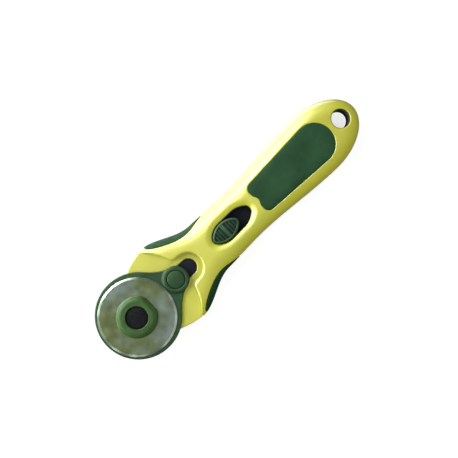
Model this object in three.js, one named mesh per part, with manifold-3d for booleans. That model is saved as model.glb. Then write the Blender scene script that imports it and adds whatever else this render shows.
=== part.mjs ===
// A rotary cutter with a 45 mm blade, in millimetres.
// Two moulded shells make the handle. The back shell carries the tongue that holds the blade's axle. A thumb button
// slides a link inside the handle, and the link draws the blade guard back to bare the edge of the blade.
// x runs along the handle from the blade's axis to the hanging hole, y runs across it, and z runs up from the
// surface that the cutter lies on. Inside the cutter group, z is measured from the plane where the two shells meet.

import * as THREE from 'three';
import { mergeVertices } from 'three/addons/utils/BufferGeometryUtils.js';
import Module from 'manifold-3d';

const wasm = await Module();
wasm.setup();

const { smoothstep } = THREE.MathUtils;

// Driving dimensions

const PARTING_HEIGHT = 10.8; // from the surface below the cutter to the plane where the shells meet
const CLEARANCE = 0.2; // between pieces that touch or slide on the real cutter
const SHELL_SEAM = 0.1; // each shell stops this far from the parting plane
const WALL = 2; // of the handle shells

const BLADE = { radius: 22.5, thickness: 0.3, bore: 4.05, bevel: 1.3, edge: 0.06 };
const GUARD_TRAVEL = 9;
const GUARD = { radius: 24.7, offset: 0.9, thickness: 1.8, slotRadius: 4.25 };
const LUG = { x: 30.6, radius: 7.6, height: 4, seatRadius: 5.3, seatDepth: 1.4 };

const NECK = { halfWidth: 15.5, swell: 1, start: 50, end: 84 }; // narrowest at its end
const EAR = { flare: 9.5, start: 27, end: 56 }; // the finger guards beside the blade
const PALM = { swell: 3.5, start: 82, end: 140 }; // the wide end of the handle
const TAIL_X = 170.5;
const EDGE_ROUNDING = 11; // width of the rounded band along the handle's sides
const ROUNDING_POWER = 2.3; // 2 is an ellipse, and more is squarer

const SHOULDER = { sideX: 25.2, sideY: 26.7, innerX: 34.6, innerY: 11.2 }; // where the front shell begins
const TONGUE = { halfThickness: 2.2, noseRadius: 12.5, rootX: 50, rootHalfWidth: 12.5, cornerRound: 3.2 };
const TONGUE_CORNER = [13.5, 23.65]; // the widest points of the tongue's front, before rounding
const TONGUE_REAR = [27, 25.6];
const HANG_HOLE = { x: 159.3, radius: 5.3, collar: 2, chamfer: 0.8 };
const BUTTON = { x: 69.7, halfLength: 9.2, halfWidth: 5.45, tipPower: 0.55, top: 9.4, base: 1.4 };
const PAD = { startX: 93.7, endX: 150.4, startHalfWidth: 9.6, endHalfWidth: 11.7, floor: 7.9, corner: 3.6 };
const FINGER_GRIP = { startX: 29.5, endX: 67, depth: 4.3, skew: 0.53 };

const AXLE_RADIUS = 3;
const AXLE_FLAT = 2.4; // from the axle's centre to each of the two flats that stop it turning
const BOLT_HEAD = { radius: 6.2, base: 6, top: 7.2 };
const FLANGE = { radius: 11.8, flatX: 10.7, flatTopX: 8.9, top: 8.3, recess: 6.5, hub: 3.9 };
const NUT = { radius: 9.6, top: -3.7, wavesDepth: 0.45, waves: 12, hexAcrossFlats: 9.4 };
const SCREW = { shank: 1.45, head: 2.7, seat: -6, headHeight: 1.4, tip: 4, boss: 2.8 };
const SCREW_PLACES = [[47, 9.6], [47, -9.6], [88, 9.8], [88, -9.8]];

const LINK = { bottom: -0.8, top: 1.2, frontRadius: 4.65, backHalfWidth: 6.3, widenX: 55, endX: 92 };
const SPRING = { anchorX: 105, bumpX: 84, width: 5, thickness: 0.4, seat: -2.9 };

const FAR = 60; // past every face that a cutting tool has to clear
const ROUND = 40; // facets of a large circle
const SMALL_ROUND = 20;

// The blade stack, from the tongue outwards
const TONGUE_FACE = TONGUE.halfThickness;
const GUARD_BASE = TONGUE_FACE + CLEARANCE;
const BLADE_BASE = GUARD_BASE + GUARD.thickness + CLEARANCE;
const FLANGE_BASE = BLADE_BASE + BLADE.thickness + CLEARANCE;

// Solids from three.js geometries

function solidOf(geometry) {
  const bare = new THREE.BufferGeometry();
  bare.setAttribute('position', geometry.getAttribute('position'));
  bare.setIndex(geometry.getIndex());
  const merged = mergeVertices(bare, 1e-4);
  const corners = merged.getIndex().array;
  const kept = [];
  for (let i = 0; i < corners.length; i += 3) {
    const [a, b, c] = corners.slice(i, i + 3);
    if (a !== b && b !== c && c !== a) kept.push(a, b, c);
  }
  return new wasm.Manifold(new wasm.Mesh({
    numProp: 3,
    vertProperties: merged.getAttribute('position').array,
    triVerts: new Uint32Array(kept),
  }));
}

function geometryOf(solid) {
  const mesh = solid.getMesh();
  const geometry = new THREE.BufferGeometry();
  geometry.setAttribute('position', new THREE.BufferAttribute(mesh.vertProperties, 3));
  geometry.setIndex(new THREE.BufferAttribute(mesh.triVerts, 1));
  geometry.computeVertexNormals();
  return geometry;
}

// A plan shape raised from z = bottom to z = top.
function prism(shape, bottom, top, curveSegments = 6) {
  const geometry = new THREE.ExtrudeGeometry(shape, {
    depth: top - bottom,
    bevelEnabled: false,
    curveSegments,
  });
  return solidOf(geometry.translate(0, 0, bottom));
}

// A profile of [radius, z] points turned about a vertical axis at (x, y).
// It runs from the top of the piece down its outside, and ends on the axis or closes on itself.
function turned(profile, x = 0, y = 0, segments = ROUND) {
  const points = profile.map(([radius, z]) => new THREE.Vector2(radius, z)).reverse();
  const geometry = new THREE.LatheGeometry(points, segments);
  return solidOf(geometry.rotateX(Math.PI / 2).translate(x, y, 0));
}

function rod(radius, bottom, top, x = 0, y = 0, segments = SMALL_ROUND) {
  return turned([[0, top], [radius, top], [radius, bottom], [0, bottom]], x, y, segments);
}

function block(xs, ys, zs) {
  const size = [xs, ys, zs].map(([low, high]) => high - low);
  const centre = [xs, ys, zs].map(([low, high]) => (low + high) / 2);
  return solidOf(new THREE.BoxGeometry(...size).translate(...centre));
}

// A slot with round ends, from x = startX to x = endX between the centres of its ends.
function slotShape(startX, endX, radius) {
  const shape = new THREE.Shape();
  shape.absarc(endX, 0, radius, -Math.PI / 2, Math.PI / 2, false);
  shape.absarc(startX, 0, radius, Math.PI / 2, 1.5 * Math.PI, false);
  return shape;
}

// The handle's outer form

function gripDepth(x) {
  const along = (x - FINGER_GRIP.startX) / (FINGER_GRIP.endX - FINGER_GRIP.startX);
  if (along <= 0 || along >= 1) return 0;
  return FINGER_GRIP.depth * Math.sin(Math.PI * along ** FINGER_GRIP.skew);
}

// How far the shell is thickened inwards behind the pads.
function padBacking(x) {
  return 2.2 * smoothstep(x, PAD.startX - 6, PAD.startX - 1) * (1 - smoothstep(x, PAD.endX, PAD.endX + 5));
}

function halfWidth(x, inset = 0) {
  if (x > PALM.end) {
    const along = (x - PALM.end) / (TAIL_X - PALM.end - inset);
    return (NECK.halfWidth + PALM.swell - inset) * Math.sqrt(Math.max(0, 1 - along * along));
  }
  const ear = EAR.flare * (1 - smoothstep(x, EAR.start, EAR.end));
  const neck = NECK.halfWidth + NECK.swell * (1 - smoothstep(x, NECK.start, NECK.end));
  return neck + ear + PALM.swell * smoothstep(x, PALM.start, PALM.end) - inset;
}

// How far inside the plan outline a point is.
function edgeDistance(x, y, inset = 0) {
  if (x <= PALM.end) return halfWidth(x, inset) - Math.abs(y);
  const length = TAIL_X - PALM.end - inset;
  const width = NECK.halfWidth + PALM.swell - inset;
  const across = [(x - PALM.end) / length, y / width];
  const ratio = Math.hypot(...across);
  return (1 - ratio) * ratio / Math.hypot(across[0] / length, across[1] / width);
}

function halfHeight(x) {
  return 7 + 2 * smoothstep(x, 30, 70) + 1.8 * smoothstep(x, 75, 125) - 2.8 * smoothstep(x, 138, 172);
}

// One cross-section of the handle: flat in the middle, with a rounded band along each side.
// depthAt(y) is how far inside the outline the section is at y.
function sectionRing(x, width, height, rounding, steps, depthAt) {
  const reach = Math.min(rounding, width - 0.05);
  const quarter = [];
  for (let i = 0; i <= steps; i += 1) {
    const y = width - reach * (1 - Math.cos((Math.PI / 2) * (i / steps)));
    const outside = Math.min(1, Math.max(0, 1 - depthAt(y) / rounding));
    quarter.push([y, height * (1 - outside ** ROUNDING_POWER) ** (1 / ROUNDING_POWER)]);
  }
  quarter[0][1] = 0;
  const back = [...quarter].reverse();
  return [
    ...quarter.map(([y, z]) => [x, y, z]),
    ...back.map(([y, z]) => [x, -y, z]),
    ...quarter.slice(1).map(([y, z]) => [x, -y, -z]),
    ...back.slice(0, -1).map(([y, z]) => [x, y, -z]),
  ];
}

function loft(rings) {
  const count = rings[0].length;
  const index = [];
  for (let r = 0; r + 1 < rings.length; r += 1) {
    for (let i = 0; i < count; i += 1) {
      const a = r * count + i;
      const b = r * count + ((i + 1) % count);
      index.push(a, b, a + count, b, b + count, a + count);
    }
  }
  const last = (rings.length - 1) * count;
  for (let i = 1; i + 1 < count; i += 1) {
    index.push(0, i + 1, i, last, last + i, last + i + 1);
  }
  const geometry = new THREE.BufferGeometry();
  geometry.setAttribute('position', new THREE.Float32BufferAttribute(rings.flat(2), 3));
  geometry.setIndex(index);
  return solidOf(geometry);
}

// Stations along x: even steps to the start of the tail, then closer and closer round its end.
function stations(startX, step, tailX, tailSteps) {
  const xs = [];
  const steps = Math.round((PALM.end - startX) / step);
  for (let i = 0; i < steps; i += 1) xs.push(startX + ((PALM.end - startX) * i) / steps);
  for (let i = 0; i < tailSteps; i += 1) {
    xs.push(PALM.end + (tailX - PALM.end) * Math.sin((Math.PI / 2) * (i / tailSteps)));
  }
  xs.push(tailX - 0.02);
  return xs;
}

function handleForm() {
  const rings = stations(25, 5, TAIL_X, 9).map((x) => (
    sectionRing(x, halfWidth(x), halfHeight(x), EDGE_ROUNDING, 5, (y) => edgeDistance(x, y))
  ));
  return loft(rings);
}

// Plan regions

// Everything in front of the handle's shoulder, where only the tongue is left. The notch in the middle is the
// channel that the guard's lug slides into.
function headRegion(offset = 0) {
  const channel = LUG.radius + 1 + offset;
  const slotX = LUG.x + GUARD_TRAVEL + 0.4;
  const side = SHOULDER.sideX + offset;
  const inner = SHOULDER.innerX + offset;
  const middle = inner - 2.8;
  const corner = inner + 1;
  const shape = new THREE.Shape();
  shape.moveTo(-FAR, FAR);
  shape.lineTo(-FAR, -FAR);
  shape.lineTo(side, -FAR);
  shape.lineTo(side, -SHOULDER.sideY);
  shape.quadraticCurveTo(middle, -18.5, inner, -SHOULDER.innerY - offset);
  shape.quadraticCurveTo(corner, -channel, slotX - 2, -channel);
  shape.absarc(slotX, 0, channel, -Math.PI / 2, Math.PI / 2, false);
  shape.lineTo(slotX - 2, channel);
  shape.quadraticCurveTo(corner, channel, inner, SHOULDER.innerY + offset);
  shape.quadraticCurveTo(middle, 18.5, side, SHOULDER.sideY);
  shape.lineTo(side, FAR);
  return shape;
}

// The same on the back, where the shoulder is one plain curve round the nut.
function backHeadRegion() {
  const { sideX, sideY } = SHOULDER;
  const deepestX = 36.4;
  const shape = new THREE.Shape();
  shape.moveTo(-FAR, FAR);
  shape.lineTo(-FAR, -FAR);
  shape.lineTo(sideX, -FAR);
  shape.lineTo(sideX, -sideY);
  shape.quadraticCurveTo(deepestX - 3, -17, deepestX - 0.5, -7);
  shape.quadraticCurveTo(deepestX + 0.5, 0, deepestX - 0.5, 7);
  shape.quadraticCurveTo(deepestX - 3, 17, sideX, sideY);
  shape.lineTo(sideX, FAR);
  return shape;
}

// The tongue's outline: a round nose at the axle, straight flanks, and a full-width root between the ears.
function tongueShape() {
  const corner = new THREE.Vector2(...TONGUE_CORNER);
  const rear = new THREE.Vector2(...TONGUE_REAR);
  const turn = corner.angle() + Math.acos(TONGUE.noseRadius / corner.length());
  const tangent = new THREE.Vector2(Math.cos(turn), Math.sin(turn)).multiplyScalar(TONGUE.noseRadius);
  const before = corner.clone().lerp(tangent, TONGUE.cornerRound / corner.distanceTo(tangent));
  const after = corner.clone().lerp(rear, TONGUE.cornerRound / corner.distanceTo(rear));
  const shape = new THREE.Shape();
  shape.absarc(0, 0, TONGUE.noseRadius, turn, 2 * Math.PI - turn, false);
  shape.lineTo(before.x, -before.y);
  shape.quadraticCurveTo(corner.x, -corner.y, after.x, -after.y);
  shape.lineTo(rear.x, -rear.y);
  shape.lineTo(TONGUE.rootX, -rear.y);
  shape.lineTo(TONGUE.rootX, rear.y);
  shape.lineTo(rear.x, rear.y);
  shape.lineTo(after.x, after.y);
  shape.quadraticCurveTo(corner.x, corner.y, before.x, before.y);
  return shape;
}

// The crescent along one ear, from its inner edge to past the side of the handle.
function gripShape(side, growth = 0) {
  const steps = 16;
  const edge = [];
  for (let i = 0; i <= steps; i += 1) {
    const x = FINGER_GRIP.startX + 0.4 + (FINGER_GRIP.endX - FINGER_GRIP.startX - 1.2) * (i / steps);
    edge.push(new THREE.Vector2(x, side * (halfWidth(x) - gripDepth(x) - growth)));
  }
  const first = edge[0].x - growth;
  const last = edge[steps].x + growth;
  const shape = new THREE.Shape();
  shape.moveTo(first, side * FAR / 2);
  shape.lineTo(first, edge[0].y);
  edge.forEach((point) => shape.lineTo(point.x, point.y));
  shape.lineTo(last, edge[steps].y);
  shape.lineTo(last, side * FAR / 2);
  return shape;
}

// The pad's outline: a half-round back end, sides that close in, and a shallow notch between two lobes in front.
function padShape(growth = 0) {
  const corner = PAD.corner + growth;
  const endRadius = PAD.endHalfWidth + growth;
  const endCentre = PAD.endX - PAD.endHalfWidth;
  const cornerX = PAD.startX + PAD.corner;
  const cornerY = PAD.startHalfWidth - PAD.corner;
  const slope = Math.atan2(PAD.endHalfWidth - PAD.startHalfWidth, endCentre - cornerX);
  const lobe = 0.62 * Math.PI;
  const shape = new THREE.Shape();
  shape.absarc(endCentre, 0, endRadius, -Math.PI / 2 - slope, Math.PI / 2 + slope, false);
  shape.absarc(cornerX, cornerY, corner, Math.PI / 2 + slope, Math.PI / 2 + lobe, false);
  const notchStart = shape.currentPoint.clone();
  const notchX = PAD.startX + 1.5 - growth;
  shape.bezierCurveTo(notchX, notchStart.y - 1, notchX, 1 - notchStart.y, notchStart.x, -notchStart.y);
  shape.absarc(cornerX, -cornerY, corner, 1.5 * Math.PI - lobe, 1.5 * Math.PI - slope, false);
  return shape;
}

// The thumb button's outline: a lens with rounded tips, stretched along x by stretch.
function lensShape(growth = 0, stretch = 0) {
  const length = BUTTON.halfLength + growth;
  const width = BUTTON.halfWidth + growth;
  const steps = 9;
  const right = [];
  for (let i = -steps; i <= steps; i += 1) {
    const turn = (Math.PI / 2) * (i / steps);
    const along = Math.cos(turn) ** 2;
    const across = Math.sign(i) * width * Math.cos((Math.PI / 2) * along) ** BUTTON.tipPower;
    right.push(new THREE.Vector2(length * along, across));
  }
  const shape = new THREE.Shape();
  right.forEach((point, i) => {
    if (i) shape.lineTo(BUTTON.x + stretch + point.x, point.y);
    else shape.moveTo(BUTTON.x + stretch + point.x, point.y);
  });
  const left = stretch ? [...right].reverse() : [...right].reverse().slice(1, -1);
  left.forEach((point) => shape.lineTo(BUTTON.x - point.x, point.y));
  return shape;
}

function doubleFlatShape(radius, flat) {
  const start = Math.asin(flat / radius);
  const shape = new THREE.Shape();
  shape.absarc(0, 0, radius, -start, start, false);
  shape.absarc(0, 0, radius, Math.PI - start, Math.PI + start, false);
  return shape;
}

// Handle shells

// The hollow that both shells share, with the walls, screw bosses and hanging hole's collar left standing.
function cavity() {
  const rings = stations(30, 7, TAIL_X - WALL, 5).map((x) => sectionRing(
    x,
    halfWidth(x, WALL) - gripDepth(x),
    halfHeight(x) - WALL - padBacking(x),
    EDGE_ROUNDING - 1,
    3,
    (y) => edgeDistance(x, y + gripDepth(x), WALL),
  ));
  let hollow = loft(rings);
  hollow = hollow.subtract(prism(headRegion(WALL), -FAR, FAR));
  hollow = hollow.subtract(rod(HANG_HOLE.radius + HANG_HOLE.collar, -FAR, FAR, HANG_HOLE.x));
  for (const [x, y] of SCREW_PLACES) hollow = hollow.subtract(rod(SCREW.boss, -FAR, FAR, x, y, 8));
  return hollow;
}

function hangHoleTool() {
  const { radius, chamfer, x } = HANG_HOLE;
  const rim = halfHeight(x);
  return turned([
    [0, FAR], [radius + chamfer + FAR - rim, FAR], [radius, rim - chamfer],
    [radius, chamfer - rim], [radius + chamfer + FAR - rim, -FAR], [0, -FAR],
  ], x, 0, 28);
}

function withoutGrips(shell) {
  return shell
    .subtract(prism(gripShape(1, CLEARANCE), -FAR, FAR))
    .subtract(prism(gripShape(-1, CLEARANCE), -FAR, FAR));
}

function frontShell(form, hollow) {
  let shell = form.intersect(block([-FAR, 4 * FAR], [-FAR, FAR], [SHELL_SEAM, FAR])).subtract(hollow);
  shell = shell.subtract(prism(headRegion(), -FAR, FAR));
  const { rootX, rootHalfWidth, halfThickness } = TONGUE;
  const tongueRoom = [[0, rootX + WALL], [-rootHalfWidth - CLEARANCE, rootHalfWidth + CLEARANCE]];
  shell = shell.subtract(block(...tongueRoom, [-1, halfThickness + CLEARANCE]));
  shell = withoutGrips(shell);
  shell = shell.subtract(prism(padShape(CLEARANCE), PAD.floor - CLEARANCE, FAR));
  shell = shell.subtract(prism(lensShape(0.3, GUARD_TRAVEL), 0, FAR));
  shell = shell.subtract(hangHoleTool());
  for (const [x, y] of SCREW_PLACES) {
    shell = shell.subtract(rod(SCREW.shank + CLEARANCE, -1, SCREW.tip + 0.5, x, y, 12));
  }
  return shell;
}

function tongue() {
  const { halfThickness, rootX, rootHalfWidth } = TONGUE;
  const plate = prism(tongueShape(), -halfThickness, halfThickness, 12);
  const front = plate.intersect(prism(headRegion(-CLEARANCE), -FAR, FAR));
  const root = block([20, rootX], [-rootHalfWidth, rootHalfWidth], [-halfThickness, halfThickness]);
  return front.add(root);
}

// The tunnel that the link slides in, and the open slot above it that shows in front of the handle.
function linkPassage() {
  const halfPassage = LINK.frontRadius + 0.3;
  const tunnel = prism(slotShape(LUG.x, TONGUE.rootX + 10, halfPassage), LINK.bottom - CLEARANCE, LINK.top + CLEARANCE);
  const slot = prism(slotShape(LUG.x, LUG.x + GUARD_TRAVEL + 0.4, 5), LINK.bottom, FAR, 10);
  return tunnel.add(slot);
}

function backShell(form, hollow) {
  let shell = form.intersect(block([-FAR, 4 * FAR], [-FAR, FAR], [-FAR, -SHELL_SEAM])).subtract(hollow);
  const rails = block([52, 97], [-5, -3.6], [-FAR, LINK.bottom - CLEARANCE])
    .add(block([52, 97], [3.6, 5], [-FAR, LINK.bottom - CLEARANCE]))
    .add(rod(2.6, -FAR, SPRING.seat - CLEARANCE, SPRING.anchorX, 0, 12));
  shell = shell.add(rails.intersect(form));
  shell = shell.add(tongue());
  shell = shell.subtract(prism(backHeadRegion(), -FAR, -TONGUE.halfThickness));
  shell = withoutGrips(shell);
  shell = shell.subtract(linkPassage());
  shell = shell.subtract(prism(padShape(CLEARANCE), -FAR, CLEARANCE - PAD.floor));
  shell = shell.subtract(prism(doubleFlatShape(AXLE_RADIUS + 0.15, AXLE_FLAT + 0.15), -FAR, FAR));
  shell = shell.subtract(hangHoleTool());
  shell = shell.subtract(rod(1.25, -6.6, 0, SPRING.anchorX, 0, 12));
  for (const [x, y] of SCREW_PLACES) {
    shell = shell.subtract(rod(SCREW.shank + CLEARANCE, -FAR, FAR, x, y, 12));
    shell = shell.subtract(rod(SCREW.head + 0.3, -FAR, SCREW.seat, x, y, 12));
  }
  return shell;
}

// Soft pieces moulded into the shells

function pad(form, side) {
  const [bottom, top] = side > 0 ? [PAD.floor, FAR] : [-FAR, -PAD.floor];
  return form.intersect(prism(padShape(), bottom, top));
}

function fingerGrip(form, side) {
  return form.intersect(prism(gripShape(side), -FAR, FAR));
}

// Blade, its clamp and its guard

function blade() {
  const { radius, thickness, bore, bevel, edge } = BLADE;
  const half = thickness / 2;
  const mid = BLADE_BASE + half;
  return turned([
    [bore, mid + half], [radius - bevel, mid + half], [radius, mid + edge / 2],
    [radius, mid - edge / 2], [radius - bevel, mid - half], [bore, mid - half], [bore, mid + half],
  ], 0, 0, 64);
}

function bladeFlange() {
  const { radius, top, recess, hub, flatX, flatTopX } = FLANGE;
  const bore = AXLE_RADIUS + 0.15;
  const floor = BOLT_HEAD.base - CLEARANCE;
  const ring = turned([
    [bore, floor], [recess, floor], [recess + 0.2, top], [radius - 1.2, top],
    [radius - 0.3, top - 0.4], [radius, top - 1.2], [radius, FLANGE_BASE], [hub, FLANGE_BASE],
    [hub, GUARD_BASE], [bore, GUARD_BASE], [bore, floor],
  ]);
  const slope = new THREE.Shape();
  slope.moveTo(flatX, -FAR);
  slope.lineTo(FAR, -FAR);
  slope.lineTo(FAR, top + 1);
  slope.lineTo(flatTopX - 0.5, top + 1);
  slope.lineTo(flatX, top - 1.8);
  const cut = new THREE.ExtrudeGeometry(slope, { depth: 2 * FAR, bevelEnabled: false });
  cut.rotateX(Math.PI / 2).translate(0, FAR, 0);
  return ring.subtract(solidOf(cut));
}

function axleBolt() {
  const { radius, base, top } = BOLT_HEAD;
  const tip = -8.8;
  const bolt = turned([
    [0, top], [radius - 0.7, top], [radius, top - 0.6], [radius, base],
    [AXLE_RADIUS, base], [AXLE_RADIUS, tip + 0.5], [AXLE_RADIUS - 0.5, tip], [0, tip],
  ], 0, 0, 32);
  const neck = [-TONGUE.halfThickness - 0.3, TONGUE.halfThickness];
  return bolt
    .subtract(block([-FAR, FAR], [AXLE_FLAT, FAR], neck))
    .subtract(block([-FAR, FAR], [-FAR, -AXLE_FLAT], neck));
}

function bladeGuard() {
  const top = GUARD_BASE + GUARD.thickness;
  const disc = turned([
    [0, top], [GUARD.radius - 0.8, top], [GUARD.radius, top - 0.6], [GUARD.radius, GUARD_BASE], [0, GUARD_BASE],
  ], GUARD.offset, 0, 60);
  const web = new THREE.Shape();
  const [rootX, rootY] = [17, 16.5];
  const [waistX, waistY] = [24.5, 9.3];
  web.moveTo(rootX, rootY);
  web.lineTo(rootX, -rootY);
  web.quadraticCurveTo(waistX, -waistY, LUG.x, -LUG.radius);
  web.lineTo(LUG.x, LUG.radius);
  web.quadraticCurveTo(waistX, waistY, rootX, rootY);
  const lugTop = GUARD_BASE + LUG.height;
  const lug = turned([
    [0, lugTop], [LUG.radius - 1.2, lugTop], [LUG.radius - 0.2, lugTop - 1], [LUG.radius, lugTop - 2],
    [LUG.radius, GUARD_BASE], [0, GUARD_BASE],
  ], LUG.x, 0, 32);
  const pinHole = rod(2.6, 0, FAR, LUG.x, 0)
    .add(rod(LUG.seatRadius, lugTop - LUG.seatDepth, FAR, LUG.x, 0, 32));
  return disc
    .add(prism(web, GUARD_BASE, top))
    .add(lug)
    .subtract(pinHole)
    .subtract(prism(slotShape(-GUARD_TRAVEL, 0, GUARD.slotRadius), 0, FAR, 10));
}

function guardPin() {
  const seat = GUARD_BASE + LUG.height - LUG.seatDepth + CLEARANCE;
  const top = GUARD_BASE + LUG.height + 0.3;
  const headRadius = LUG.seatRadius - 0.3;
  return turned([
    [0, top], [headRadius - 1.4, top - 0.05], [headRadius - 0.4, top - 0.35], [headRadius, top - 0.8],
    [headRadius, seat], [2.4, seat], [2.4, -0.6], [0, -0.6],
  ], LUG.x, 0, SMALL_ROUND);
}

// Slide mechanism

function slideLink() {
  const { frontRadius, backHalfWidth, widenX, endX, bottom, top } = LINK;
  const shape = new THREE.Shape();
  shape.absarc(LUG.x, 0, frontRadius, Math.PI / 2, 1.5 * Math.PI, false);
  shape.lineTo(widenX, -frontRadius);
  shape.lineTo(widenX + 3, -backHalfWidth);
  shape.absarc(endX - 2, -backHalfWidth + 2, 2, -Math.PI / 2, 0, false);
  shape.absarc(endX - 2, backHalfWidth - 2, 2, 0, Math.PI / 2, false);
  shape.lineTo(widenX + 3, backHalfWidth);
  shape.lineTo(widenX, frontRadius);
  let link = prism(shape, bottom, top)
    .subtract(rod(2.6, -FAR, FAR, LUG.x))
    .subtract(rod(2.2, -FAR, FAR, BUTTON.x));
  for (const x of [SPRING.bumpX, SPRING.bumpX - GUARD_TRAVEL]) {
    link = link.subtract(block([x - 1, x + 1], [-3, 3], [-FAR, bottom + 0.5]));
  }
  return link;
}

function sliderButton() {
  const { x, base, top, halfWidth: reach } = BUTTON;
  const grooves = { count: 4, first: 1.75, pitch: 1.85, width: 0.8, depth: 0.7, rim: 0.9 };
  let button = prism(lensShape(), base, top, 12);
  button = button.subtract(prism(lensShape(-1.4), base - 1, top - 2));
  button = button.add(rod(2, LINK.bottom + 0.2, top - 1, x));
  const inner = prism(lensShape(-grooves.rim), top - grooves.depth, FAR, 12);
  for (let i = 0; i < grooves.count; i += 1) {
    for (const side of [-1, 1]) {
      const middle = x + side * (grooves.first + grooves.pitch * i);
      const groove = block([middle - grooves.width / 2, middle + grooves.width / 2], [-reach, reach], [0, FAR]);
      button = button.subtract(groove.intersect(inner));
    }
  }
  return button;
}

// A leaf spring screwed to the back shell. Its raised bump presses up under the link to hold it where it is put.
function detentSpring() {
  const { anchorX, bumpX, width, thickness, seat } = SPRING;
  const bumpTop = LINK.bottom - 0.3;
  const line = [
    [anchorX + 4, seat], [anchorX - 5, seat], [bumpX + 5, seat], [bumpX + 2, bumpTop - 0.6 - thickness],
    [bumpX + 0.8, bumpTop - thickness], [bumpX - 0.8, bumpTop - thickness], [bumpX - 3, seat],
  ];
  const shape = new THREE.Shape();
  line.forEach(([x, z], i) => (i ? shape.lineTo(x, z) : shape.moveTo(x, z)));
  [...line].reverse().forEach(([x, z]) => shape.lineTo(x, z + thickness));
  const strip = new THREE.ExtrudeGeometry(shape, { depth: width, bevelEnabled: false });
  strip.rotateX(Math.PI / 2).translate(0, width / 2, 0);
  return solidOf(strip).subtract(rod(1.3, -FAR, FAR, anchorX, 0, 12));
}

function springScrew() {
  const base = SPRING.seat + SPRING.thickness + CLEARANCE / 2;
  return turned([
    [0, base + 1.1], [1.4, base + 1.1], [2.1, base + 0.6], [2.1, base], [1.1, base], [1.1, -6.2], [0, -6.4],
  ], SPRING.anchorX, 0, 12);
}

// Nut side

function waveWasher() {
  const { inner, outer, thickness, wave, waves } = { inner: 3.3, outer: 7, thickness: 0.4, wave: 0.3, waves: 3 };
  const shape = new THREE.Shape();
  shape.absarc(0, 0, outer, 0, 2 * Math.PI, false);
  shape.holes.push(new THREE.Path().absarc(0, 0, inner, 0, 2 * Math.PI, true));
  const ring = new THREE.ExtrudeGeometry(shape, { depth: thickness, bevelEnabled: false, curveSegments: 18 });
  const position = ring.getAttribute('position');
  const middle = (NUT.top - TONGUE.halfThickness - thickness) / 2;
  for (let i = 0; i < position.count; i += 1) {
    const turn = Math.atan2(position.getY(i), position.getX(i));
    position.setZ(i, position.getZ(i) + middle + wave * Math.cos(waves * turn));
  }
  return solidOf(ring);
}

function hexShape(acrossFlats) {
  const radius = acrossFlats / Math.sqrt(3);
  const shape = new THREE.Shape();
  for (let i = 0; i < 6; i += 1) {
    const turn = (Math.PI / 3) * i;
    const point = [radius * Math.cos(turn), radius * Math.sin(turn)];
    if (i) shape.lineTo(...point);
    else shape.moveTo(...point);
  }
  return shape;
}

// The knob's plan outline, waved for the fingers.
function knobShape(radius, depth) {
  const shape = new THREE.Shape();
  const steps = NUT.waves * 4;
  for (let i = 0; i < steps; i += 1) {
    const turn = (2 * Math.PI * i) / steps;
    const reach = radius - depth + depth * Math.cos(NUT.waves * turn);
    const point = [reach * Math.cos(turn), reach * Math.sin(turn)];
    if (i) shape.lineTo(...point);
    else shape.moveTo(...point);
  }
  return shape;
}

function nutKnob() {
  const bottom = -PARTING_HEIGHT;
  const waved = prism(knobShape(NUT.radius, NUT.wavesDepth), bottom, NUT.top);
  const rounded = turned([
    [0, NUT.top], [NUT.radius - 0.5, NUT.top], [NUT.radius + 0.1, NUT.top - 0.6], [NUT.radius + 0.1, bottom + 1.6],
    [NUT.radius - 0.6, bottom + 0.5], [NUT.radius - 1.8, bottom], [0, bottom],
  ], 0, 0, NUT.waves * 4);
  const pocket = prism(hexShape(NUT.hexAcrossFlats + 2 * CLEARANCE), bottom + 1.2, FAR);
  return waved.intersect(rounded).subtract(pocket);
}

function nutInsert() {
  const body = prism(hexShape(NUT.hexAcrossFlats), -PARTING_HEIGHT + 1.4, NUT.top - CLEARANCE);
  return body.subtract(rod(AXLE_RADIUS + 0.15, -FAR, FAR));
}

function bodyScrew([x, y]) {
  const { shank, head, seat, headHeight, tip } = SCREW;
  const under = seat - 0.1;
  const screw = turned([
    [0, tip], [0.5, tip], [shank, tip - 1.6], [shank, under], [head, under],
    [head, under - headHeight + 0.6], [head - 0.8, under - headHeight], [0, under - headHeight],
  ], x, y, 12);
  const slotDepth = [under - headHeight - 1, under - headHeight + 0.7];
  return screw
    .subtract(block([x - 1.5, x + 1.5], [y - 0.3, y + 0.3], slotDepth))
    .subtract(block([x - 0.3, x + 0.3], [y - 1.5, y + 1.5], slotDepth));
}

// Materials

const plastic = (colour, roughness) => new THREE.MeshStandardMaterial({ color: colour, roughness, metalness: 0 });
const metal = (colour, roughness) => new THREE.MeshStandardMaterial({ color: colour, roughness, metalness: 1 });

const materials = {
  yellowPlastic: plastic(0xd6d632, 0.32),
  softGrip: plastic(0x1d4a2b, 0.75),
  greenPlastic: plastic(0x2c5e31, 0.42),
  blackPlastic: plastic(0x15141a, 0.5),
  bladeSteel: metal(0xb4bab4, 0.28),
  springSteel: metal(0x9a9c9e, 0.35),
  blackSteel: metal(0x18181b, 0.5),
  brass: metal(0xc9a24a, 0.35),
  screwSteel: metal(0x8d9094, 0.4),
};

// Assembly

const cutter = new THREE.Group();
cutter.position.z = PARTING_HEIGHT;

function addPiece(name, solid, material) {
  const mesh = new THREE.Mesh(geometryOf(solid), material);
  mesh.name = name;
  cutter.add(mesh);
}

const form = handleForm();
const hollow = cavity();

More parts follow.
